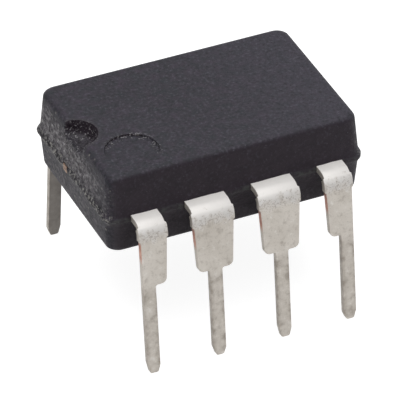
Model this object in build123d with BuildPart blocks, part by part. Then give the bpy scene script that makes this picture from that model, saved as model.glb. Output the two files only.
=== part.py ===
from build123d import *
import math
import os

# A dual in-line package with eight leads: a moulded epoxy body round a stamped lead frame,
# with the die, its adhesive and its bond wires sealed inside.
# Millimetres, +Z up. The origin lies on the plane of the lead tips, midway between the rows.
# +X runs along the body, away from the notched end. Leads 1 to 4 stand on the -Y side,
# and leads 5 to 8 on the +Y side, counted the other way.

# Lead frame
frame_thickness = 0.254
lead_pitch = 2.54
leads_per_row = 4
leg_width = 0.48
shoulder_width = 1.512
shoulder_drop = 2.35  # middle of the frame down to the lower edge of the shoulder
leg_length = 3.529  # lower edge of the shoulder down to the tip
shoulder_taper = 0.05  # the shoulder narrows by this on each wide side
shoulder_radius = 0.12
tip_width = 0.3
tip_taper_length = 0.32
splay_angle = 5.65  # each row leans outwards by this
bend_radius = 0.25  # inside of the bend
lead_overhang = 0.807  # body side out to the leg's outer face, at the frame's height
stub_depth = 0.05  # what is left of the dam bar on each side of a lead
stub_length = 0.5
stub_drop = 0.12  # middle of the frame down to the top of the stub

# Moulded body
end_margin = 1.063  # middle of an end lead to the end of the body
body_width = 6.592
upper_height = 1.695  # middle of the frame up to the top face
lower_height = 1.463  # middle of the frame down to the underside
end_draft = 4.0
side_draft = 5.9
corner_radius = 0.45
edge_radius = 0.2
ridge_at_ends = 0.1
ridge_at_sides = 0.05
ridge_tip_height = 0.12
ridge_flank_height = 0.2
ridge_flank_angle = 25

# Marks moulded into the top face
notch_radius = 0.82
notch_depth = 0.78
notch_floor_radius = 0.3
mark_radius = 0.98
mark_depth = 0.05
mark_from_end = 1.45  # edge of the top face to the middle of the round mark
mark_from_side = 1.37

# Inside the body
root_depth = 0.55  # how far a lead keeps its full width inside the body
anchor_hole_diameter = 0.42
finger_width = 0.5
finger_gap = 0.25  # between a finger and the paddle or its tie bar
corner_finger_run = 0.55  # straight stretch past the root before a corner finger turns
paddle_length = 3.2
paddle_width = 2.3
paddle_downset = 0.25
tie_bar_width = 0.3
tie_bar_offset = 0.43
tie_bar_recess = 0.02  # the cut end lies this far behind the tip of the ridge
joggle_start = 0.3  # paddle's edge to the foot of the joggle
joggle_run = 0.3
adhesive_thickness = 0.03
adhesive_margin = 0.06
die_length = 1.9
die_width = 1.5
die_thickness = 0.28
pad_inset = 0.14  # die's edge to the middle of a bond pad
wire_diameter = 0.03
bond_diameter = 0.09
bond_height = 0.025
bond_inset = 0.2  # finger's tip back to the middle of its bond
wire_sides = 12  # flats round the wire's section
loop_height = 0.2  # crest of the wire over its bond on the die

# Worked out from the above
frame_height = shoulder_drop + leg_length
shoulder_height = leg_length
body_length = (leads_per_row - 1) * lead_pitch + 2 * end_margin
top_height = frame_height + upper_height
top_length = body_length - 2 * upper_height * math.tan(math.radians(end_draft))
top_width = body_width - 2 * upper_height * math.tan(math.radians(side_draft))
bottom_length = body_length - 2 * lower_height * math.tan(math.radians(end_draft))
bottom_width = body_width - 2 * lower_height * math.tan(math.radians(side_draft))
body_side = body_width / 2
leg_reach = body_side + lead_overhang
frame_top = frame_height + frame_thickness / 2
paddle_height = frame_height - paddle_downset
paddle_top = paddle_height + frame_thickness / 2
die_bottom = paddle_top + adhesive_thickness
die_top = die_bottom + die_thickness


def lead_x(place):
    # Place 0 is the lead nearest the notch, in either row's own direction.
    return (place - (leads_per_row - 1) / 2) * lead_pitch


def side_reaches(place):
    # A lead at the end of the row has no shoulder on its outer side.
    left = leg_width / 2 if place == 0 else shoulder_width / 2
    right = leg_width / 2 if place == leads_per_row - 1 else shoulder_width / 2
    return left, right


def outline_side(reach, tip_reach):
    # One side of the lead seen from the front, from the tip up past the bend.
    stub_top = frame_height - stub_drop
    stub_bottom = stub_top - stub_length
    points = [(tip_reach, 0), (leg_width / 2, tip_taper_length)]
    if reach > leg_width / 2:
        points += [(leg_width / 2, shoulder_height), (reach - shoulder_taper, shoulder_height)]
    points += [
        (reach, stub_bottom),
        (reach + stub_depth, stub_bottom),
        (reach + stub_depth, stub_top),
        (reach, stub_top),
        (reach, frame_top + frame_thickness),
    ]
    return points


def finger_route(place):
    # Middle line of the finger, seen from above, from the root to the tip.
    left, right = side_reaches(place)
    root_x = lead_x(place) + (right - left) / 2
    root_y = -(body_side - root_depth)
    if left == right:
        return [(root_x, root_y), (root_x, -(paddle_width / 2 + finger_gap))]
    side = -1 if root_x < 0 else 1
    tip_y = -(tie_bar_offset + tie_bar_width / 2 + finger_gap + finger_width / 2)
    tip = (side * (paddle_length / 2 + finger_gap), tip_y)
    return [(root_x, root_y), (root_x, root_y + corner_finger_run), tip]


def make_lead(place):
    x = lead_x(place)
    left, right = side_reaches(place)
    reach = leg_reach + frame_height * math.tan(math.radians(splay_angle))
    half_slant = frame_thickness / 2 / math.cos(math.radians(splay_angle))
    knee = -(leg_reach - half_slant)
    below = frame_thickness  # the leg runs this far past its tip before it is trimmed
    foot = knee - (frame_height + below) * math.tan(math.radians(splay_angle))
    root_y = -(body_side - root_depth)
    right_side = outline_side(right, tip_width / 2)
    left_side = [(-across, up) for across, up in reversed(outline_side(left, tip_width / 2))]
    route = finger_route(place)

    with BuildPart() as lead:
        # The strip bent down, as wide as the widest lead.
        with BuildSketch(Plane.YZ.offset(x - shoulder_width)):
            with BuildLine():
                FilletPolyline(
                    (root_y, frame_height),
                    (knee, frame_height),
                    (foot, -below),
                    radius=bend_radius + frame_thickness / 2,
                )
            trace(line_width=frame_thickness)
        extrude(amount=2 * shoulder_width)
        # Its outline from the front: stubs, shoulder, leg and tip.
        with BuildSketch(Plane.XZ.shift_origin((x, 0, 0))):
            with BuildLine():
                Polyline(*right_side, *left_side, close=True)
            outline = make_face()
            shoulders = outline.vertices().filter_by_position(
                Axis.Y, shoulder_height - shoulder_taper, shoulder_height + shoulder_taper
            )
            fillet(shoulders, shoulder_radius)
        extrude(amount=2 * reach, mode=Mode.INTERSECT)
        # The finger inside the body.
        with BuildSketch(Plane.XY.offset(frame_height)):
            with BuildLine():
                Polyline(*route)
            trace(line_width=finger_width)
        extrude(amount=frame_thickness / 2, both=True)
        # A hole in the root that the epoxy fills, so that the lead can't be pulled out.
        with BuildSketch(Plane.XY.offset(frame_height)):
            with Locations((route[0][0], root_y + anchor_hole_diameter / 2)):
                Circle(anchor_hole_diameter / 2)
        extrude(amount=frame_thickness, both=True, mode=Mode.SUBTRACT)
    return lead.part


# Leads 1 to 4, then leads 5 to 8: the same row turned round.
front_row = [make_lead(place) for place in range(leads_per_row)]
back_row = [part.rotate(Axis.Z, 180) for part in front_row]
leads = front_row + back_row
for number, part in enumerate(leads, start=1):
    part.label = f"lead_{number}"

# The paddle with a tie bar at each end, one stamping.
with BuildPart() as die_paddle:
    with BuildSketch(Plane.XY.offset(paddle_height)):
        Rectangle(paddle_length, paddle_width)
    extrude(amount=frame_thickness / 2, both=True)
    for side in (-1, 1):
        foot_x = paddle_length / 2 + joggle_start
        end_x = body_length / 2 + ridge_at_ends - tie_bar_recess
        with BuildSketch(Plane.XZ.offset(-tie_bar_offset)):
            with BuildLine():
                Polyline(
                    (side * (paddle_length / 2 - frame_thickness), paddle_height),
                    (side * foot_x, paddle_height),
                    (side * (foot_x + joggle_run), frame_height),
                    (side * end_x, frame_height),
                )
            trace(line_width=frame_thickness)
        extrude(amount=tie_bar_width / 2, both=True)
die_paddle.part.label = "die_paddle"

with BuildPart() as die_attach:
    with BuildSketch(Plane.XY.offset(paddle_top)):
        RectangleRounded(
            die_length + 2 * adhesive_margin, die_width + 2 * adhesive_margin, adhesive_margin
        )
    extrude(amount=adhesive_thickness)
die_attach.part.label = "die_attach"

with BuildPart() as silicon_die:
    with BuildSketch(Plane.XY.offset(die_bottom)):
        Rectangle(die_length, die_width)
    extrude(amount=die_thickness)
silicon_die.part.label = "silicon_die"


def bond_places(place):
    # Where a front lead's wire starts on the die and ends on the finger.
    route = finger_route(place)
    tip = Vector(*route[-1])
    back = (Vector(*route[-2]) - tip).normalized()
    finger = tip + back * bond_inset
    if len(route) == 2:
        pad = Vector(tip.X / 2, -(die_width / 2 - pad_inset))
    else:
        side = -1 if tip.X < 0 else 1
        pad = Vector(side * (die_length / 2 - pad_inset), tip.Y / 2)
    return pad, finger


def make_wire(place):
    pad, finger = bond_places(place)
    start = Vector(pad.X, pad.Y, die_top + bond_height)
    end = Vector(finger.X, finger.Y, frame_top + bond_height)
    crest = start + Vector(0, 0, loop_height)
    with BuildPart() as wire:
        # The wire leaves the die straight up, then runs down to the finger in one span.
        with BuildLine() as loop:
            Polyline(start, crest, end)
        with BuildSketch(Plane.XY.offset(start.Z).shift_origin(start)):
            RegularPolygon(wire_diameter / 2, wire_sides)
        sweep(path=loop.wire(), transition=Transition.RIGHT)
        for foot in (start, end):
            with BuildSketch(Plane.XY.offset(foot.Z - bond_height)):
                with Locations((foot.X, foot.Y)):
                    Circle(bond_diameter / 2)
            extrude(amount=bond_height)
    return wire.part


front_wires = [make_wire(place) for place in range(leads_per_row)]
back_wires = [part.rotate(Axis.Z, 180) for part in front_wires]
bond_wires = front_wires + back_wires
for number, part in enumerate(bond_wires, start=1):
    part.label = f"bond_wire_{number}"

# The body is one moulding that fills every space round what it holds.
with BuildPart() as package_body:
    for height, length, width in (
        (top_height, top_length, top_width),
        (frame_height - lower_height, bottom_length, bottom_width),
    ):
        with BuildSketch(Plane.XY.offset(frame_height)):
            RectangleRounded(body_length, body_width, corner_radius)
        with BuildSketch(Plane.XY.offset(height)):
            RectangleRounded(length, width, corner_radius)
        loft()
    for face in (package_body.faces().sort_by(Axis.Z)[-1], package_body.faces().sort_by(Axis.Z)[0]):
        fillet(face.edges(), edge_radius)
    # The ridge where the two halves of the mould met: a flat tip with a sloping flank each side.
    for direction in (-1, 1):
        for offset, rise, slope in (
            (0, ridge_tip_height / 2, 0),
            (ridge_tip_height / 2, ridge_flank_height, ridge_flank_angle),
        ):
            with BuildSketch(Plane.XY.offset(frame_height + direction * offset)):
                RectangleRounded(
                    body_length + 2 * ridge_at_ends,
                    body_width + 2 * ridge_at_sides,
                    corner_radius + ridge_at_sides,
                )
            extrude(amount=direction * rise, taper=slope)
    # The notch at the end of leads 1 and 8.
    with BuildSketch(Plane.XY.offset(top_height - notch_depth)):
        with Locations((-top_length / 2, 0)):
            Circle(notch_radius)
    extrude(amount=notch_depth + edge_radius, mode=Mode.SUBTRACT)
    notch_floor = package_body.edges().filter_by_position(
        Axis.Z, top_height - notch_depth - 0.01, top_height - notch_depth + 0.01
    )
    fillet(notch_floor.filter_by(GeomType.CIRCLE), notch_floor_radius)
    # The shallow round mark beside lead 1.
    with BuildSketch(Plane.XY.offset(top_height - mark_depth)):
        with Locations((-top_length / 2 + mark_from_end, -top_width / 2 + mark_from_side)):
            Circle(mark_radius)
    extrude(amount=mark_depth + edge_radius, mode=Mode.SUBTRACT)
    for part in (*leads, die_paddle.part, die_attach.part, silicon_die.part, *bond_wires):
        add(part, mode=Mode.SUBTRACT)
package_body.part.label = "package_body"

os.makedirs("parts", exist_ok=True)
pieces = [package_body.part, die_paddle.part, die_attach.part, silicon_die.part, *leads, *bond_wires]
for part in pieces:
    export_step(part, f"parts/{part.label}.step")
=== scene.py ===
import bmesh
import bpy
import math
from mathutils import Matrix, Vector, noise


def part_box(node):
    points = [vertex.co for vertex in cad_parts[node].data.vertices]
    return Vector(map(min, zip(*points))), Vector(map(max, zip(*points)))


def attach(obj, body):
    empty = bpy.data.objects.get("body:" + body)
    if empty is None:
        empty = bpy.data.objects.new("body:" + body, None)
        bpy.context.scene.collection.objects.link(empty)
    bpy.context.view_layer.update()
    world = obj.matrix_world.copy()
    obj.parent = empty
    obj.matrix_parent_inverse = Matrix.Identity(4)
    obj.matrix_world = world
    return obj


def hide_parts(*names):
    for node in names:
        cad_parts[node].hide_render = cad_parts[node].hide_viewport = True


# Finishes for an eight-lead moulded package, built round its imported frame.
# Lengths in the dictionaries are millimetres, and mm turns them into scene units.

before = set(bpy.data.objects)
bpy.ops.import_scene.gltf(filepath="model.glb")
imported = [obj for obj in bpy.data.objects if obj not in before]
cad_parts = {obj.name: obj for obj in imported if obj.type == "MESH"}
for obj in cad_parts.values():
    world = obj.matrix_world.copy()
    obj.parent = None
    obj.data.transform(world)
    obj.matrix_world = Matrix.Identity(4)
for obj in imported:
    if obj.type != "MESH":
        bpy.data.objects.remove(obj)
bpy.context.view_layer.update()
mm = 0.001
root = "root"

bodyLow, bodyHigh = (Vector(corner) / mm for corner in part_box("package_body"))
leadHigh = Vector(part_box("lead_2")[1]) / mm
frameThickness = 0.254
frameHeight = leadHigh.z - frameThickness / 2  # middle of the lead frame
topHeight = bodyHigh.z
bottomHeight = bodyLow.z
leadPitch = 2.54


def newObject(name, bm, material, smooth=True):
    mesh = bpy.data.meshes.new(name)
    bmesh.ops.transform(bm, matrix=Matrix.Scale(mm, 4), verts=bm.verts)
    bm.to_mesh(mesh)
    bm.free()
    for polygon in mesh.polygons:
        polygon.use_smooth = smooth
    mesh.materials.append(material)
    piece = bpy.data.objects.new(name, mesh)
    bpy.context.scene.collection.objects.link(piece)
    return piece


def faceOutward(bm):
    bmesh.ops.recalc_face_normals(bm, faces=bm.faces)
    if bm.calc_volume(signed=True) < 0:
        bmesh.ops.reverse_faces(bm, faces=bm.faces)


def sharpenByAngle(piece, degrees):
    piece.data.set_sharp_from_angle(angle=math.radians(degrees))


class Nodes:
    # Short way to add and join shader nodes.
    def __init__(self, name):
        self.material = bpy.data.materials.new(name)
        self.material.use_nodes = True
        self.tree = self.material.node_tree
        self.tree.nodes.clear()
        self.coords = self.add("ShaderNodeTexCoord").outputs["Object"]

    def add(self, kind, **settings):
        node = self.tree.nodes.new(kind)
        for key, value in settings.items():
            setattr(node, key, value)
        return node

    def link(self, source, target):
        self.tree.links.new(source, target)

    def put(self, socket, value):
        if isinstance(value, bpy.types.NodeSocket):
            self.link(value, socket)
        else:
            socket.default_value = value

    def noise(self, scale, detail=4.0, rough=0.55, coords=None):
        node = self.add("ShaderNodeTexNoise")
        self.link(coords or self.coords, node.inputs["Vector"])
        node.inputs["Scale"].default_value = scale / mm
        node.inputs["Detail"].default_value = detail
        node.inputs["Roughness"].default_value = rough
        return node.outputs["Fac"]

    def voronoi(self, scale, feature="F1", output="Distance", randomness=1.0):
        node = self.add("ShaderNodeTexVoronoi", feature=feature)
        self.link(self.coords, node.inputs["Vector"])
        node.inputs["Scale"].default_value = scale / mm
        node.inputs["Randomness"].default_value = randomness
        return node.outputs[output]

    def ramp(self, source, stops):
        node = self.add("ShaderNodeValToRGB")
        elements = node.color_ramp.elements
        while len(elements) < len(stops):
            elements.new(0.5)
        for element, (place, colour) in zip(elements, stops):
            element.position = place
            element.color = (*colour, 1)
        self.link(source, node.inputs["Fac"])
        return node.outputs["Color"]

    def stretch(self, source, low, high, newLow=0.0, newHigh=1.0):
        node = self.add("ShaderNodeMapRange")
        node.clamp = True
        self.link(source, node.inputs["Value"])
        for key, value in (("From Min", low), ("From Max", high), ("To Min", newLow), ("To Max", newHigh)):
            node.inputs[key].default_value = value
        return node.outputs["Result"]

    def distance(self, point):
        node = self.add("ShaderNodeVectorMath", operation="DISTANCE")
        self.link(self.coords, node.inputs[0])
        node.inputs[1].default_value = Vector(point) * mm
        return node.outputs["Value"]

    def maths(self, operation, first, second=0.5):
        node = self.add("ShaderNodeMath", operation=operation)
        self.put(node.inputs[0], first)
        self.put(node.inputs[1], second)
        return node.outputs["Value"]

    def mix(self, factor, first, second):
        node = self.add("ShaderNodeMix", data_type="RGBA")
        self.put(node.inputs["Factor"], factor)
        self.put(node.inputs[6], first if isinstance(first, bpy.types.NodeSocket) else (*first, 1))
        self.put(node.inputs[7], second if isinstance(second, bpy.types.NodeSocket) else (*second, 1))
        return node.outputs[2]

    def bump(self, height, distance, strength=1.0, under=None):
        node = self.add("ShaderNodeBump")
        self.link(height, node.inputs["Height"])
        node.inputs["Strength"].default_value = strength
        node.inputs["Distance"].default_value = distance * mm
        if under is not None:
            self.link(under, node.inputs["Normal"])
        return node.outputs["Normal"]

    def finish(self, colour, rough, normal=None, metallic=0.0, specular=0.5):
        shader = self.add("ShaderNodeBsdfPrincipled")
        self.put(shader.inputs["Base Color"], colour)
        self.put(shader.inputs["Roughness"], rough)
        self.put(shader.inputs["Metallic"], metallic)
        self.put(shader.inputs["Specular IOR Level"], specular)
        if normal is not None:
            self.link(normal, shader.inputs["Normal"])
        out = self.add("ShaderNodeOutputMaterial")
        self.link(shader.outputs["BSDF"], out.inputs["Surface"])
        return self.material


bodyLook = {
    "length": 9.746,
    "width": 6.592,
    "endDraft": 4.0,
    "sideDraft": 5.9,
    "cornerRadius": 0.45,
    "edgeRadius": 0.2,
    "ridgeEnds": 0.1,
    "ridgeSides": 0.05,
    "ridgeTip": 0.06,
    "ridgeFoot": 0.26,
    "notchRadius": 0.82,
    "notchDepth": 0.50,
    "notchTilt": 15,
    "notchFloorRound": 0.34,
    "markRadius": 0.98,
    "markDepth": 0.07,
    "markAt": (-3.3, -1.75),
    "gridStep": 0.16,
    "waviness": 0.006,
    "pitDepth": 0.05,
    "seed": 7,
}


def epoxyMaterial():
    n = Nodes("epoxyMoulding")
    geometry = n.add("ShaderNodeNewGeometry")
    split = n.add("ShaderNodeSeparateXYZ")
    n.link(geometry.outputs["True Normal"], split.inputs["Vector"])
    place = n.add("ShaderNodeSeparateXYZ")
    n.link(n.coords, place.inputs["Vector"])
    # The ends are rougher and dustier than the top and the long sides.
    endness = n.stretch(n.maths("ABSOLUTE", split.outputs["X"]), 0.35, 0.85)
    cloud = n.noise(0.55, 3.0, 0.5)
    mottle = n.noise(3.2, 5.0, 0.62)
    grain = n.noise(9.0, 3.0, 0.6)
    base = n.ramp(cloud, [(0.32, (0.019, 0.017, 0.024)), (0.68, (0.027, 0.024, 0.033))])
    tint = n.ramp(mottle, [(0.30, (0.034, 0.022, 0.040)), (0.5, (0.022, 0.020, 0.028)),
                           (0.70, (0.017, 0.023, 0.026))])
    colour = n.mix(0.6, base, tint)
    colour = n.mix(n.stretch(place.outputs["X"], 0.0, 4.5 * mm, 0.0, 0.45), colour, (0.044, 0.040, 0.055))
    sideness = n.stretch(n.maths("ABSOLUTE", split.outputs["Y"]), 0.5, 0.95)
    # Painted shade: the long sides are darkened against the top, as if less lit.
    colour = n.mix(n.maths("MULTIPLY", sideness, 0.75), colour, (0.013, 0.006, 0.011))
    calm = n.stretch(sideness, 0.0, 1.0, 1.0, 0.4)
    pale = n.maths("MULTIPLY", n.stretch(grain, 0.54, 0.72, 0.0, 0.62), calm)
    dark = n.maths("MULTIPLY", n.stretch(grain, 0.46, 0.30, 0.0, 0.85), calm)
    colour = n.mix(pale, colour, (0.084, 0.080, 0.102))
    colour = n.mix(dark, colour, (0.005, 0.004, 0.006))
    # Dust lies in streaks along each end, thickest above the flash and on it.
    along = n.add("ShaderNodeMapping")
    along.inputs["Scale"].default_value = (1.0, 0.75, 1.1)
    n.link(n.coords, along.inputs["Vector"])
    streak = n.noise(6.5, 6.0, 0.75, coords=along.outputs["Vector"])
    flecks = n.noise(11.0, 3.0, 0.65, coords=along.outputs["Vector"])
    endColour = n.ramp(streak, [(0.36, (0.012, 0.009, 0.013)), (0.48, (0.075, 0.068, 0.076)),
                                (0.56, (0.200, 0.190, 0.200)), (0.68, (0.500, 0.485, 0.490))])
    above = n.stretch(place.outputs["Z"], (frameHeight + 0.10) * mm, (frameHeight + 0.40) * mm, 0.35, 1.0)
    below = n.stretch(place.outputs["Z"], (frameHeight + 1.45) * mm, (frameHeight + 0.90) * mm, 0.10, 1.0)
    banded = n.maths("MULTIPLY", above, below)
    backward = n.stretch(place.outputs["Y"], -3.1 * mm, -0.8 * mm, 0.22, 1.0)
    dusted = n.maths("MULTIPLY", n.maths("MULTIPLY", banded, backward), endness)
    colour = n.mix(dusted, colour, endColour)
    offRidge = n.maths("ABSOLUTE", n.maths("SUBTRACT", place.outputs["Z"], frameHeight * mm))
    onRidge = n.maths("MULTIPLY", n.stretch(offRidge, 0.30 * mm, 0.16 * mm), endness)
    colour = n.mix(n.maths("MULTIPLY", onRidge, n.stretch(flecks, 0.52, 0.62)), colour, (0.30, 0.29, 0.27))
    colour = n.mix(n.maths("MULTIPLY", onRidge, n.stretch(flecks, 0.48, 0.40)), colour, (0.005, 0.004, 0.005))
    # Painted highlight: a thin lighter line along the parting ridge on the long sides.
    ridgeHighlight = n.maths("MULTIPLY", n.stretch(offRidge, 0.14 * mm, 0.06 * mm), sideness)
    colour = n.mix(n.maths("MULTIPLY", ridgeHighlight, n.stretch(mottle, 0.45, 0.60, 0.1, 0.8)), colour,
                   (0.065, 0.066, 0.066))
    # Painted shade darkens the notch's walls against a lighter floor, and specks, pale ones and dark ones of
    # painted shade, sit inside the notch and round the far rim of the shallow mark.
    endTop = draftedSize(topHeight)[0] / 2
    fromNotch = n.distance((-endTop, 0.0, topHeight - 0.4))
    fromMark = n.distance((*bodyLook["markAt"], topHeight))
    behindEnd = n.stretch(place.outputs["X"], (-endTop + 0.01) * mm, (-endTop + 0.08) * mm)
    inNotch = n.maths("MULTIPLY", n.stretch(fromNotch, 1.05 * mm, 0.95 * mm), behindEnd)
    lying = n.stretch(split.outputs["Z"], 0.45, 0.85)
    # Painted shade on the notch walls, painted light on its floor.
    notchShadeAndLight = n.mix(lying, (0.022, 0.016, 0.022), (0.034, 0.030, 0.037))
    colour = n.mix(n.maths("MULTIPLY", inNotch, 0.9), colour, notchShadeAndLight)
    rimGap = n.maths("ABSOLUTE", n.maths("SUBTRACT", fromMark, (bodyLook["markRadius"] - 0.06) * mm))
    farSide = n.maths("ADD", n.maths("MULTIPLY", place.outputs["X"], 0.7), place.outputs["Y"])
    markLine = (bodyLook["markAt"][0] * 0.7 + bodyLook["markAt"][1]) * mm
    farSide = n.stretch(farSide, markLine - 0.2 * mm, markLine + 0.3 * mm)
    rimmed = n.maths("MULTIPLY", n.stretch(rimGap, 0.20 * mm, 0.07 * mm), farSide)
    # The notch and the far rim of the mark, where pale specks and dark specks of painted shade are put.
    speckAndShadeZone = n.maths("MAXIMUM", n.stretch(fromNotch, 1.05 * mm, 0.75 * mm), rimmed)
    flake = n.stretch(n.noise(13.0, 2.0, 0.6), 0.57, 0.66)
    colour = n.mix(n.maths("MULTIPLY", speckAndShadeZone, flake), colour, (0.27, 0.26, 0.27))
    # Painted shade: dark specks in the notch and along the far rim of the mark.
    shadeSpeckMask = n.stretch(n.noise(12.0, 2.0, 0.6), 0.46, 0.40, 0.0, 0.8)
    colour = n.mix(n.maths("MULTIPLY", speckAndShadeZone, shadeSpeckMask), colour, (0.003, 0.002, 0.003))
    speckMask = n.stretch(n.voronoi(2.6), 0.15, 0.08, 0.0, 0.6)
    colour = n.mix(n.maths("MULTIPLY", speckMask, endness), colour, (0.28, 0.27, 0.25))
    fineMask = n.stretch(n.voronoi(3.7), 0.085, 0.05, 0.0, 0.35)
    colour = n.mix(fineMask, colour, (0.13, 0.13, 0.15))
    height = n.maths("ADD", n.maths("MULTIPLY", mottle, 0.6), n.maths("MULTIPLY", grain, 0.4))
    fine = n.bump(height, 0.022, 0.7)
    coarse = n.bump(streak, 0.06, 0.5, under=fine)
    rough = n.stretch(mottle, 0.3, 0.7, 0.50, 0.66)
    inWall = n.maths("MULTIPLY", inNotch, n.maths("SUBTRACT", 1.0, lying))
    dulled = n.maths("MAXIMUM", inWall, n.maths("MULTIPLY", sideness, 0.18))
    dulled = n.maths("MAXIMUM", dulled, n.maths("MULTIPLY", endness, 0.75))
    specular = n.stretch(dulled, 0.0, 1.0, 0.30, 0.08)
    return n.finish(colour, rough, coarse, specular=specular)


def draftedSize(height):
    rise = abs(height - frameHeight)
    length = bodyLook["length"] - 2 * rise * math.tan(math.radians(bodyLook["endDraft"]))
    width = bodyLook["width"] - 2 * rise * math.tan(math.radians(bodyLook["sideDraft"]))
    return length, width


def bodyLevels():
    # Height, and how far the outline stands out from the drafted faces at the ends and the sides.
    edge = bodyLook["edgeRadius"]
    steps = 6
    turns = [math.radians(90 * step / steps) for step in range(steps + 1)]
    foot, tip = bodyLook["ridgeFoot"], bodyLook["ridgeTip"]
    ends, sides = bodyLook["ridgeEnds"], bodyLook["ridgeSides"]
    rounded = [(edge * (1 - math.sin(turn)), -edge * (1 - math.cos(turn))) for turn in turns]
    levels = [(bottomHeight, -edge - 0.04, -edge - 0.04)]
    levels += [(bottomHeight + up, out, out) for up, out in reversed(rounded)]
    levels += [(bottomHeight + 0.55, 0, 0), (bottomHeight + 0.9, 0, 0)]
    levels += [(frameHeight - foot, 0, 0), (frameHeight - tip - 0.06, ends * 0.6, sides * 0.5)]
    levels += [(frameHeight - tip, ends * 0.92, sides), (frameHeight, ends, sides)]
    levels += [(frameHeight + tip, ends * 0.92, sides), (frameHeight + tip + 0.06, ends * 0.6, sides * 0.5)]
    levels += [(frameHeight + foot, 0, 0), (frameHeight + 0.6, 0, 0), (frameHeight + 1.05, 0, 0)]
    levels += [(topHeight - up, out, out) for up, out in rounded]
    levels += [(topHeight, -edge - 0.04, -edge - 0.04)]
    return levels


def bodyShell():
    bm = bmesh.new()
    bmesh.ops.create_grid(bm, x_segments=1, y_segments=1, size=0.5)
    bmesh.ops.scale(bm, vec=(bodyLook["length"], bodyLook["width"], 1), verts=bm.verts)
    bmesh.ops.bevel(bm, geom=bm.verts[:], offset=bodyLook["cornerRadius"], segments=8, profile=0.5,
                    affect="VERTICES", material=-1)
    for edge in bm.edges[:]:
        cuts = int(edge.calc_length() / bodyLook["gridStep"])
        if cuts > 1:
            bmesh.ops.subdivide_edges(bm, edges=[edge], cuts=cuts)
    loop = bm.edges[:]
    lastSize = Vector((bodyLook["length"], bodyLook["width"]))
    for count, (height, outEnds, outSides) in enumerate(bodyLevels()):
        if count:
            grown = bmesh.ops.extrude_edge_only(bm, edges=loop)["geom"]
            ring = {item for item in grown if isinstance(item, bmesh.types.BMVert)}
            loop = [item for item in grown if isinstance(item, bmesh.types.BMEdge)
                    and all(vert in ring for vert in item.verts)]
        else:
            ring = set(bm.verts)
        length, width = draftedSize(height)
        size = Vector((length + 2 * outEnds, width + 2 * outSides))
        for vert in ring:
            vert.co = Vector((vert.co.x * size.x / lastSize.x, vert.co.y * size.y / lastSize.y, height))
        lastSize = size
    bmesh.ops.contextual_create(bm, geom=loop)
    faceOutward(bm)
    return bm


def cutter(name, bm):
    piece = newObject(name, bm, None, smooth=False)
    piece.hide_render = True
    return piece


def notchCutter():
    bm = bmesh.new()
    depth = bodyLook["notchDepth"] + 0.5
    bmesh.ops.create_cone(bm, cap_ends=True, segments=64, radius1=bodyLook["notchRadius"],
                          radius2=bodyLook["notchRadius"] * 1.02, depth=depth)
    floorEdges = [edge for edge in bm.edges if all(vert.co.z < 0 for vert in edge.verts)]
    bmesh.ops.bevel(bm, geom=floorEdges, offset=bodyLook["notchFloorRound"], segments=6, profile=0.5,
                    affect="EDGES", material=-1)
    tilt = Matrix.Rotation(math.radians(bodyLook["notchTilt"]), 3, "Y")
    bmesh.ops.rotate(bm, cent=(0, 0, -depth / 2), matrix=tilt, verts=bm.verts)
    middle = topHeight - bodyLook["notchDepth"] + depth / 2
    leaning = bodyLook["notchDepth"] * math.tan(math.radians(bodyLook["notchTilt"]))
    bmesh.ops.translate(bm, vec=(-draftedSize(topHeight)[0] / 2 - leaning, 0, middle), verts=bm.verts)
    return cutter("notchCutter", bm)


def markCutter():
    bm = bmesh.new()
    bmesh.ops.create_cone(bm, cap_ends=True, segments=96, radius1=bodyLook["markRadius"] - 0.02,
                          radius2=bodyLook["markRadius"] + 0.02, depth=2 * bodyLook["markDepth"])
    bmesh.ops.translate(bm, vec=(*bodyLook["markAt"], topHeight), verts=bm.verts)
    return cutter("markCutter", bm)


def cadCopy(node):
    bm = bmesh.new()
    bm.from_mesh(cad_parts[node].data)
    bmesh.ops.scale(bm, vec=(1 / mm,) * 3, verts=bm.verts)
    bmesh.ops.remove_doubles(bm, verts=bm.verts, dist=1e-5)
    return bm


def evenNormals(piece):
    # Large faces set the shading, so that thin rounded edges do not bend it across them.
    modifier = piece.modifiers.new("evenNormals", "WEIGHTED_NORMAL")
    modifier.mode = "FACE_AREA"
    modifier.keep_sharp = True


def applyModifiers(piece):
    graph = bpy.context.evaluated_depsgraph_get()
    baked = bpy.data.meshes.new_from_object(piece.evaluated_get(graph), depsgraph=graph)
    piece.modifiers.clear()
    piece.data = baked


def cut(piece, tool):
    modifier = piece.modifiers.new("cut", "BOOLEAN")
    modifier.operation = "DIFFERENCE"
    modifier.solver = "EXACT"
    modifier.object = tool
    applyModifiers(piece)
    bpy.data.objects.remove(tool)


def roughenBody(bm):
    # Uneven flash along the ridge, deeper pitted at the ends than along the sides.
    halfLength = bodyLook["length"] / 2
    for vert in bm.verts:
        rise = abs(vert.co.z - frameHeight)
        outward = Vector((vert.co.x, vert.co.y * 1.2, 0)).normalized()
        atEnd = abs(vert.co.x) > halfLength - 0.35
        wave = noise.noise(vert.co * 0.9 + Vector((bodyLook["seed"], 0, 0)))
        chip = noise.noise(vert.co * 3.1 + Vector((0, bodyLook["seed"], 0)))
        if rise < bodyLook["ridgeFoot"] * 0.9:
            depth = bodyLook["pitDepth"] if atEnd else bodyLook["pitDepth"] * 0.4
            vert.co -= outward * depth * max(0.0, chip * 1.6 + 0.15)
        elif rise < bodyLook["ridgeFoot"] * 3:
            vert.co += outward * bodyLook["waviness"] * (wave - 0.5)


def makeBody():
    bm = bodyShell()
    roughenBody(bm)
    piece = newObject("mouldedBody", bm, epoxyMaterial())
    cut(piece, notchCutter())
    cut(piece, markCutter())
    for number in range(1, 9):
        cut(piece, cutter("leadPocket", cadCopy(f"lead_{number}")))
    sharpenByAngle(piece, 38)
    for polygon in piece.data.polygons:
        polygon.use_smooth = abs(polygon.normal.z) < 0.9995
    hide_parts("package_body")
    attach(piece, root)
    print("moulded body", len(piece.data.polygons), "faces")


makeBody()

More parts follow.
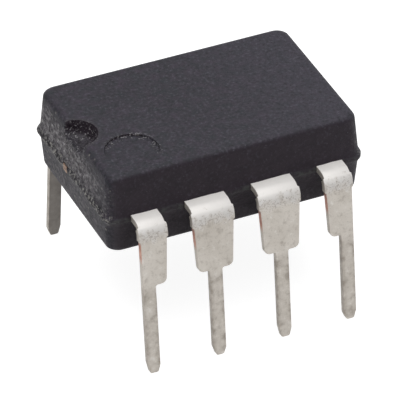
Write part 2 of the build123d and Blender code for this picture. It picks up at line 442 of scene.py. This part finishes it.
leadLook = {
    "thickness": frameThickness,
    "legWidth": 0.48,
    "shoulderWidth": 1.512,
    "shoulderHeight": 3.529,
    "shoulderTaper": 0.10,
    "splay": 5.65,
    "bendRadius": 0.25,
    "reach": 4.103,
    "rootReach": 2.746,
    "stubDepth": 0.05,
    "stubLength": 0.5,
    "edgeRound": 0.025,
    "cornerRound": 0.2,
    "innerRound": 0.07,
    "fingerWidth": 0.5,
    "fingerTip": 1.4,
    "cornerFinger": (1.85, 1.08),
    "cornerRun": 0.55,
    "bendCuts": 20,
    "legCut": 0.3,
}

# Each tip: width, length of its taper, and how much further its left side is cut back.
tipLook = {
    1: (0.30, 0.34, 0.10),
    2: (0.27, 0.30, 0.05),
    3: (0.30, 0.36, 0.07),
    4: (0.28, 0.30, -0.04),
    5: (0.29, 0.33, 0.06),
    6: (0.30, 0.31, -0.05),
    7: (0.27, 0.35, 0.04),
    8: (0.30, 0.32, 0.08),
}


def tinMaterial():
    n = Nodes("tinPlate")
    geometry = n.add("ShaderNodeNewGeometry")
    split = n.add("ShaderNodeSeparateXYZ")
    n.link(geometry.outputs["True Normal"], split.inputs["Vector"])
    place = n.add("ShaderNodeSeparateXYZ")
    n.link(n.coords, place.inputs["Vector"])
    cloud = n.noise(1.1, 3.0, 0.5)
    mottle = n.noise(4.2, 4.0, 0.6)
    grain = n.noise(18.0, 3.0, 0.6)
    colour = n.ramp(cloud, [(0.30, (0.53, 0.49, 0.44)), (0.70, (0.63, 0.59, 0.54))])
    colour = n.mix(n.stretch(mottle, 0.44, 0.30, 0.0, 0.55), colour, (0.36, 0.32, 0.28))
    colour = n.mix(n.stretch(mottle, 0.60, 0.72, 0.0, 0.5), colour, (0.74, 0.72, 0.69))
    colour = n.mix(n.stretch(grain, 0.45, 0.30, 0.0, 0.35), colour, (0.30, 0.27, 0.24))
    # The legs are darker below the shoulder, most along their long edges.
    shoulder = leadLook["shoulderHeight"] * mm
    low = n.stretch(place.outputs["Z"], shoulder, shoulder - 0.3 * mm)
    turns = n.maths("FRACT", n.maths("ADD", n.maths("DIVIDE", place.outputs["X"], leadPitch * mm), 2.0))
    aside = n.maths("ABSOLUTE", n.maths("SUBTRACT", turns, 0.5))
    rim = n.stretch(aside, 0.045, 0.090, 0.30, 0.80)
    lowLegDarkening = n.maths("MULTIPLY", n.maths("MULTIPLY", low, rim), n.stretch(mottle, 0.35, 0.60, 1.0, 0.35))
    colour = n.mix(lowLegDarkening, colour, (0.27, 0.235, 0.20))
    # Painted shade: the faces toward the middle of the package are darkened, as if in the body's shadow.
    inward = n.maths("MULTIPLY", split.outputs["Y"], place.outputs["Y"])
    colour = n.mix(n.stretch(inward, -0.0008, -0.003, 0.0, 0.8), colour, (0.135, 0.122, 0.112))
    # Painted dark reflection: the sheared sides are all darkened a little. Just below the bend they show
    # copper through a thin smear of tin.
    sideways = n.stretch(n.maths("ABSOLUTE", split.outputs["X"]), 0.75, 0.95)
    high = n.stretch(place.outputs["Z"], (frameHeight - 1.45) * mm, (frameHeight - 1.15) * mm)
    under = n.stretch(place.outputs["Z"], (frameHeight - 0.50) * mm, (frameHeight - 0.65) * mm)
    band = n.maths("MULTIPLY", n.maths("MULTIPLY", high, under), sideways)
    copper = n.ramp(mottle, [(0.35, (0.34, 0.13, 0.09)), (0.65, (0.50, 0.24, 0.17))])
    # Painted dark reflection on every sheared side.
    colour = n.mix(n.maths("MULTIPLY", sideways, 0.35), colour, (0.30, 0.27, 0.24))
    colour = n.mix(n.maths("MULTIPLY", band, 0.85), colour, copper)
    height = n.maths("ADD", n.maths("MULTIPLY", mottle, 0.7), n.maths("MULTIPLY", grain, 0.3))
    normal = n.bump(height, 0.016, 0.6)
    # Painted highlight: the bend is painted pale and even, less metallic and rougher, where the overhead lamp
    # reflects in it.
    wander = n.maths("MULTIPLY", n.maths("SUBTRACT", mottle, 0.5), 1.2 * mm)
    bendHighlight = n.stretch(n.maths("ADD", place.outputs["Z"], wander), (frameHeight - 0.60) * mm,
                        (frameHeight - 0.08) * mm)
    bendHighlight = n.maths("MULTIPLY", bendHighlight, n.maths("SUBTRACT", 1.0, sideways))
    colour = n.mix(n.maths("MULTIPLY", bendHighlight, 0.9), colour, (0.79, 0.77, 0.75))
    # Dark grainy spots along the fringe of the painted highlight.
    highlightFringe = n.maths("MULTIPLY", n.maths("MULTIPLY", bendHighlight, n.maths("SUBTRACT", 1.0, bendHighlight)), 4.0)
    colour = n.mix(n.maths("MULTIPLY", highlightFringe, n.stretch(grain, 0.50, 0.36, 0.0, 0.65)), colour,
                   (0.30, 0.25, 0.22))
    metallic = n.stretch(bendHighlight, 0.0, 1.0, 0.6, 0.2)
    rough = n.stretch(mottle, 0.3, 0.7, 0.60, 0.46)
    rough = n.maths("MAXIMUM", rough, n.stretch(bendHighlight, 0.0, 1.0, 0.3, 0.62))
    return n.finish(colour, rough, normal, metallic)


def leadPath():
    # Where the strip's middle line bends: start of the bend, turn and radius.
    turn = math.radians(90 - leadLook["splay"])
    radius = leadLook["bendRadius"] + leadLook["thickness"] / 2
    slant = leadLook["thickness"] / 2 / math.cos(math.radians(leadLook["splay"]))
    knee = leadLook["reach"] - slant
    start = knee - radius * math.tan(turn / 2)
    return start, turn, radius


def leadCuts():
    # The strip is cut across closely where it bends, and now and then down the leg.
    start, turn, radius = leadPath()
    bend = [start + radius * turn * step / leadLook["bendCuts"] for step in range(leadLook["bendCuts"] + 1)]
    return bend + [bend[-1] + leadLook["legCut"] * step for step in range(1, 16)]


def alongToPlace(along, offset):
    # A point of the flat strip, at its distance along and its height off the middle, once bent.
    start, turn, radius = leadPath()
    if along <= start:
        return -along, frameHeight + offset
    angle = min((along - start) / radius, turn)
    y = -(start + (radius + offset) * math.sin(angle))
    z = frameHeight - radius + (radius + offset) * math.cos(angle)
    rest = max(0.0, along - start - radius * turn)
    return y - rest * math.cos(turn), z - rest * math.sin(turn)


def alongAtHeight(height, offset=0.0):
    start, turn, radius = leadPath()
    bendEnd = frameHeight - radius + (radius + offset) * math.cos(turn)
    return start + radius * turn + (bendEnd - height) / math.sin(turn)


def leadOutline(number):
    # Left and right sides of the flat strip, each from the root out to the tip.
    placeInRow = (number - 1) % 4
    half = leadLook["legWidth"] / 2
    wide = leadLook["shoulderWidth"] / 2
    left = half if placeInRow == 0 else wide
    right = half if placeInRow == 3 else wide
    tipWidth, tipTaper, skew = tipLook[number]
    shoulder = alongAtHeight(leadLook["shoulderHeight"])
    tip = alongAtHeight(0.0, -leadLook["thickness"] / 2)
    start, turn, radius = leadPath()
    stubStart = start + radius * turn * 0.45
    stubEnd = stubStart + leadLook["stubLength"]
    root = leadLook["rootReach"]

    def side(sign, reach, cutBack):
        stub = leadLook["stubDepth"]
        points = [(reach, root), (reach, stubStart), (reach + stub, stubStart + 0.03),
                  (reach + stub, stubEnd - 0.03), (reach, stubEnd)]
        if reach > half:
            points += [(reach - leadLook["shoulderTaper"], shoulder), (half, shoulder)]
        points += [(half, tip - tipTaper - cutBack), (tipWidth / 2, tip)]
        return [(sign * across, along) for across, along in points]

    rootX = (right - left) / 2
    finger = leadLook["fingerWidth"] / 2
    if placeInRow in (1, 2):
        leftFinger = [(-finger, leadLook["fingerTip"]), (-finger, root)]
        rightFinger = [(finger, leadLook["fingerTip"]), (finger, root)]
    else:
        way = 1 if placeInRow == 0 else -1
        leadX = (placeInRow - 1.5) * leadPitch
        tipPoint = Vector((-way * leadLook["cornerFinger"][0] - leadX, leadLook["cornerFinger"][1]))
        turnPoint = Vector((rootX, root - leadLook["cornerRun"]))
        lean = (tipPoint - turnPoint).normalized()
        aside = Vector((-lean.y, lean.x)) * finger
        if aside.x < 0:
            aside = -aside
        mitre = aside + lean * (finger - aside.x) / lean.x if abs(lean.x) > 0.1 else aside
        leftFinger = [tuple(tipPoint - aside), tuple(turnPoint - mitre), (rootX - finger, root)]
        rightFinger = [tuple(tipPoint + aside), tuple(turnPoint + mitre), (rootX + finger, root)]
    leftSide = leftFinger + side(-1, left, skew)
    rightSide = rightFinger + side(1, right, -skew * 0.5)
    return leftSide, rightSide, shoulder


def makeLead(number, material):
    leftSide, rightSide, shoulder = leadOutline(number)
    half = leadLook["legWidth"] / 2
    bm = bmesh.new()
    loop = [bm.verts.new((x, along, 0)) for x, along in leftSide + rightSide[::-1]]
    bm.faces.new(loop)
    outer = [v for v in bm.verts if abs(v.co.y - shoulder) < 1e-4 and abs(v.co.x) > half + 0.05]
    inner = [v for v in bm.verts if abs(v.co.y - shoulder) < 1e-4 and abs(v.co.x) <= half + 0.05]
    tips = sorted(bm.verts, key=lambda v: -v.co.y)[:2]
    for corners, size, steps in ((outer, leadLook["cornerRound"], 5), (inner, leadLook["innerRound"], 4),
                                 (tips, 0.05, 3)):
        if corners:
            bmesh.ops.bevel(bm, geom=corners, offset=size, segments=steps, profile=0.5,
                            affect="VERTICES", material=-1)
    bmesh.ops.recalc_face_normals(bm, faces=bm.faces)
    if bm.faces[0].normal.z < 0:
        bmesh.ops.reverse_faces(bm, faces=bm.faces)
    grown = bmesh.ops.extrude_face_region(bm, geom=bm.faces[:])["geom"]
    raised = [item for item in grown if isinstance(item, bmesh.types.BMVert)]
    bmesh.ops.translate(bm, vec=(0, 0, -leadLook["thickness"]), verts=raised)
    bmesh.ops.translate(bm, vec=(0, 0, leadLook["thickness"] / 2), verts=bm.verts)
    bmesh.ops.recalc_face_normals(bm, faces=bm.faces)
    rim = [edge for edge in bm.edges if len(edge.link_faces) == 2
           and edge.calc_face_angle() > 1.2 and abs(edge.verts[0].co.z - edge.verts[1].co.z) < 1e-6]
    bmesh.ops.bevel(bm, geom=rim, offset=leadLook["edgeRound"], segments=2, profile=0.5,
                    affect="EDGES", material=-1)
    for along in leadCuts():
        bmesh.ops.bisect_plane(bm, geom=bm.verts[:] + bm.edges[:] + bm.faces[:], dist=1e-5,
                               plane_co=(0, along, 0), plane_no=(0, 1, 0))
    placeX = ((number - 1) % 4 - 1.5) * leadPitch
    for vert in bm.verts:
        y, z = alongToPlace(vert.co.y, vert.co.z)
        vert.co = Vector((vert.co.x + placeX, y, z))
    if number > 4:
        bmesh.ops.rotate(bm, cent=(0, 0, 0), matrix=Matrix.Rotation(math.pi, 3, "Z"), verts=bm.verts)
    faceOutward(bm)
    piece = newObject(f"lead{number}", bm, material)
    sharpenByAngle(piece, 35)
    evenNormals(piece)
    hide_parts(f"lead_{number}")
    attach(piece, root)


tin = tinMaterial()
for number in range(1, 9):
    makeLead(number, tin)
print("leads done")

# Name: two tones, roughness, how metallic, and the mottling's scale per millimetre.
hiddenLook = {
    "frameCopper": ((0.10, 0.05, 0.03), (0.36, 0.23, 0.15), 0.45, 0.7, 6.0),
    "silverAdhesive": ((0.38, 0.38, 0.37), (0.62, 0.62, 0.60), 0.55, 0.3, 12.0),
    "goldWire": ((0.80, 0.50, 0.16), (0.98, 0.74, 0.34), 0.28, 1.0, 20.0),
}


def simpleMetal(name):
    low, high, rough, metallic, scale = hiddenLook[name]
    n = Nodes(name)
    mottle = n.noise(scale, 4.0, 0.6)
    colour = n.ramp(mottle, [(0.30, low), (0.70, high)])
    normal = n.bump(mottle, 0.006, 0.5)
    return n.finish(colour, n.stretch(mottle, 0.3, 0.7, rough + 0.1, rough - 0.05), normal, metallic)


def siliconMaterial():
    n = Nodes("siliconDie")
    cells = n.voronoi(9.0, "F1", "Color")
    lines = n.voronoi(16.0, "DISTANCE_TO_EDGE", "Distance", 0.6)
    base = n.mix(0.25, (0.10, 0.11, 0.14), cells)
    colour = n.mix(n.stretch(lines, 0.06, 0.02, 0.0, 0.7), base, (0.55, 0.50, 0.40))
    return n.finish(colour, n.stretch(lines, 0.0, 0.2, 0.35, 0.18), n.bump(lines, 0.002, 0.4), 0.6)


def finishHidden():
    # What the epoxy seals in keeps its built shape and takes its own finish.
    finishes = {
        "die_paddle": simpleMetal("frameCopper"),
        "die_attach": simpleMetal("silverAdhesive"),
        "silicon_die": siliconMaterial(),
    }
    gold = simpleMetal("goldWire")
    for number in range(1, 9):
        finishes[f"bond_wire_{number}"] = gold
    for node, material in finishes.items():
        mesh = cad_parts[node].data
        mesh.materials.clear()
        mesh.materials.append(material)
    print("hidden pieces finished")


finishHidden()

cameraLook = {
    "turn": -23.906,
    "tilt": 35.677,
    "roll": -0.381,
    "distance": 178.3,
    "aside": 0.052,
    "down": 2.092,
    "lens": 453.05,
}


def addCamera():
    turn, tilt, roll = (math.radians(cameraLook[key]) for key in ("turn", "tilt", "roll"))
    back = Vector((math.sin(turn) * math.cos(tilt), -math.cos(turn) * math.cos(tilt), math.sin(tilt)))
    level = Vector((math.cos(turn), math.sin(turn), 0))
    upright = back.cross(level)
    across = level * math.cos(roll) + upright * math.sin(roll)
    above = upright * math.cos(roll) - level * math.sin(roll)
    place = back * cameraLook["distance"] + across * cameraLook["aside"] - above * cameraLook["down"]
    place.z += frameHeight
    data = bpy.data.cameras.new("view")
    data.lens = cameraLook["lens"]
    data.clip_start = 0.01
    data.clip_end = 10
    camera = bpy.data.objects.new("view", data)
    bpy.context.scene.collection.objects.link(camera)
    pose = Matrix((across, above, back)).transposed().to_4x4()
    pose.translation = place * mm
    camera.matrix_world = pose
    bpy.context.scene.camera = camera


lightLook = {
    "skyLevel": 0.30,
    "floorTone": 0.50,
    "floorGlow": 0.86,
    "lamps": {
        # name: place, size, power in milliwatts, aimed at the middle of the body
        "overhead": ((-8, -14, 90), 90, 64),
        "leftEnd": ((-90, -10, 40), 50, 9),
    },
}


def addLamps():
    for name, (place, size, power) in lightLook["lamps"].items():
        data = bpy.data.lights.new(name, "AREA")
        data.shape = "DISK"
        data.size = size * mm
        data.energy = power * 0.001
        lamp = bpy.data.objects.new(name, data)
        bpy.context.scene.collection.objects.link(lamp)
        lamp.location = Vector(place) * mm
        aim = Vector((0, 0, frameHeight)) - Vector(place)
        lamp.rotation_euler = aim.to_track_quat("-Z", "Y").to_euler()


def addSky():
    world = bpy.data.worlds.new("sky")
    bpy.context.scene.world = world
    world.use_nodes = True
    tree = world.node_tree
    tree.nodes.clear()
    path = tree.nodes.new("ShaderNodeLightPath")
    seen = tree.nodes.new("ShaderNodeMath")
    seen.operation = "MAXIMUM"
    tree.links.new(path.outputs["Is Camera Ray"], seen.inputs[0])
    tree.links.new(path.outputs["Is Glossy Ray"], seen.inputs[1])
    level = tree.nodes.new("ShaderNodeMapRange")
    level.inputs["To Min"].default_value = lightLook["skyLevel"]
    level.inputs["To Max"].default_value = 1.0
    tree.links.new(seen.outputs["Value"], level.inputs["Value"])
    shade = tree.nodes.new("ShaderNodeBackground")
    tree.links.new(level.outputs["Result"], shade.inputs["Strength"])
    out = tree.nodes.new("ShaderNodeOutputWorld")
    tree.links.new(shade.outputs["Background"], out.inputs["Surface"])


def addFloor():
    bm = bmesh.new()
    bmesh.ops.create_grid(bm, x_segments=2, y_segments=2, size=400)
    floorPiece = newObject("floor", bm, floorMaterial(), smooth=False)
    floorPiece.location.z = -0.01 * mm


def floorMaterial():
    material = bpy.data.materials.new("paleFloor")
    material.use_nodes = True
    tree = material.node_tree
    tree.nodes.clear()
    path = tree.nodes.new("ShaderNodeLightPath")
    diffuse = tree.nodes.new("ShaderNodeBsdfDiffuse")
    diffuse.inputs["Color"].default_value = (*(lightLook["floorTone"],) * 3, 1)
    glow = tree.nodes.new("ShaderNodeEmission")
    seen = tree.nodes.new("ShaderNodeMath")
    seen.operation = "MAXIMUM"
    tree.links.new(path.outputs["Is Camera Ray"], seen.inputs[0])
    tree.links.new(path.outputs["Is Glossy Ray"], seen.inputs[1])
    strength = tree.nodes.new("ShaderNodeMath")
    strength.operation = "MULTIPLY"
    strength.inputs[1].default_value = lightLook["floorGlow"]
    tree.links.new(seen.outputs["Value"], strength.inputs[0])
    tree.links.new(strength.outputs["Value"], glow.inputs["Strength"])
    both = tree.nodes.new("ShaderNodeAddShader")
    tree.links.new(diffuse.outputs["BSDF"], both.inputs[0])
    tree.links.new(glow.outputs["Emission"], both.inputs[1])
    out = tree.nodes.new("ShaderNodeOutputMaterial")
    tree.links.new(both.outputs["Shader"], out.inputs["Surface"])
    return material


addCamera()
addLamps()
addSky()
addFloor()
bpy.context.scene.view_settings.view_transform = "Standard"
print("stage set")
